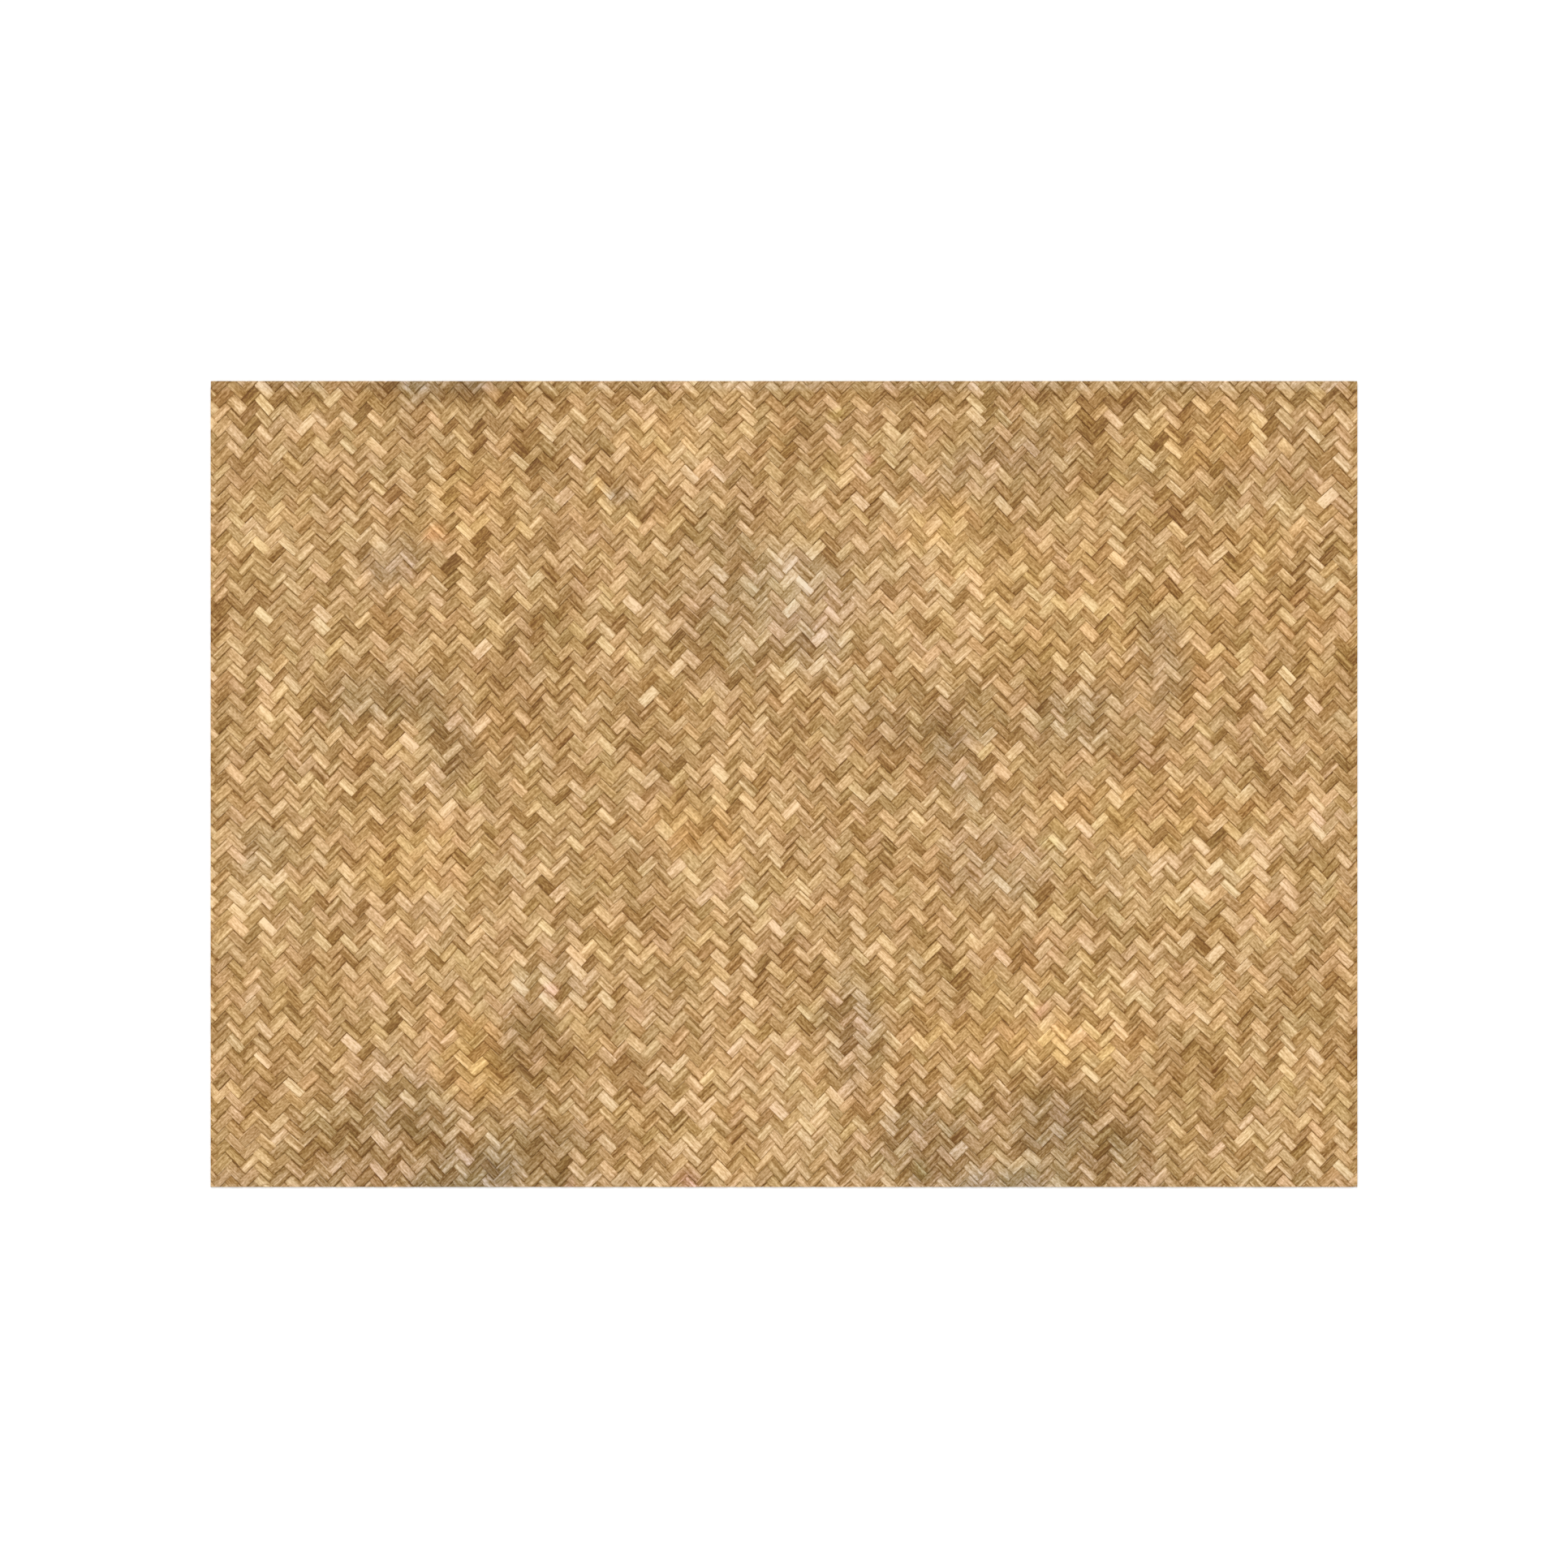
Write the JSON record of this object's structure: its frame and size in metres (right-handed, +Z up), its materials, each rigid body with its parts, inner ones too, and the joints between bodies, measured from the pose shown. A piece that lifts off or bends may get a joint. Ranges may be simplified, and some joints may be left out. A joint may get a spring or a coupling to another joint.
{
  "type": "woven rattan rug",
  "caption": "Flat rectangular rug of natural rattan splints, twill woven on the bias in a fine zigzag, with straight cut edges, to lie on a floor.",
  "frame": {"origin": "middle of the underside, on the floor that the rug lies on", "axes": "+X along the long side, +Y along the short side, +Z up through the thickness"},
  "size_m": [1.85, 1.3, 0.003],
  "materials": {
    "rattan": "dry, unvarnished rattan splints in mixed straw and brown tones"
  },
  "bodies": {
    "root": {"woven_mat": "rattan"}
  },
  "joints": []
}
